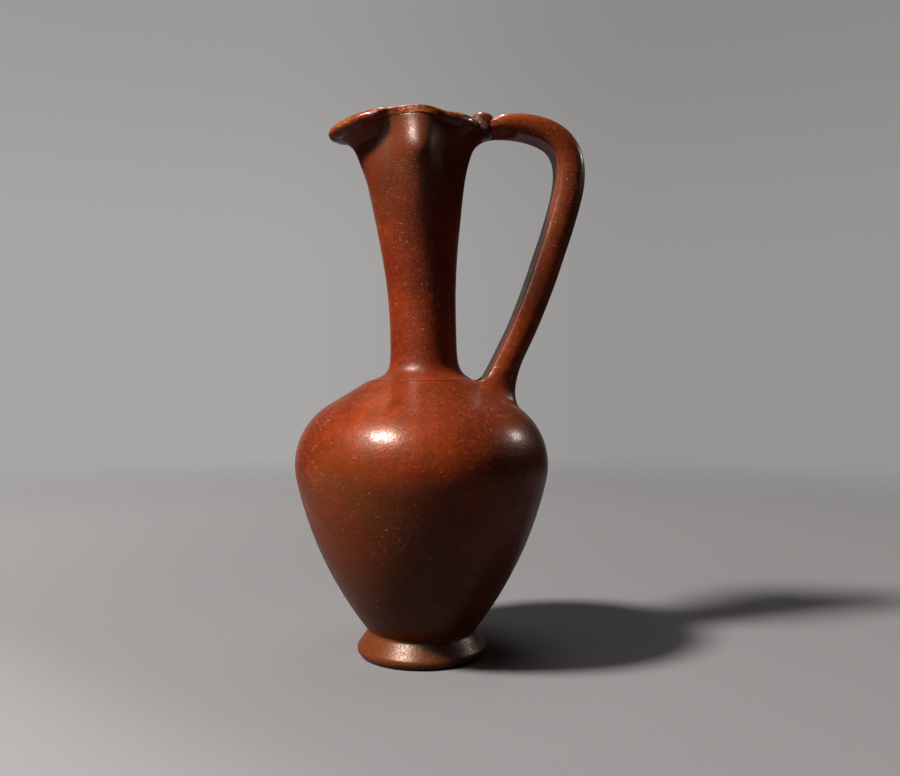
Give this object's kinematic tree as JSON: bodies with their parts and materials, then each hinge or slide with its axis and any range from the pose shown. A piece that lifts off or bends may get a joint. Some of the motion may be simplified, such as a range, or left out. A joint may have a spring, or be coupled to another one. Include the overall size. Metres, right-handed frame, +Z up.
{
  "type": "jug",
  "caption": "Tall-necked pouring jug in burnished red-slipped earthenware, with a lobed mouth, a drawn spout, a tall strap handle, a rounded body and a ring foot.",
  "frame": {"origin": "centre of the foot's resting plane, on the body's axis", "axes": "+Z up along the body's axis, +X towards the handle, -X towards the spout"},
  "size_m": [0.1399, 0.1208, 0.2626],
  "materials": {
    "burnished_slip": "burnished red-brown slip over earthenware, satin, lightly scratched",
    "worn_slip": "the same slip, worn orange and pitted on raised edges"
  },
  "bodies": {
    "root": {"foot": "burnished_slip", "body": "burnished_slip", "neck": "burnished_slip", "lip": "worn_slip", "handle": "burnished_slip", "rim_knob": "worn_slip", "handle_top_wad": "burnished_slip", "handle_root_wad": "burnished_slip"}
  },
  "joints": []
}
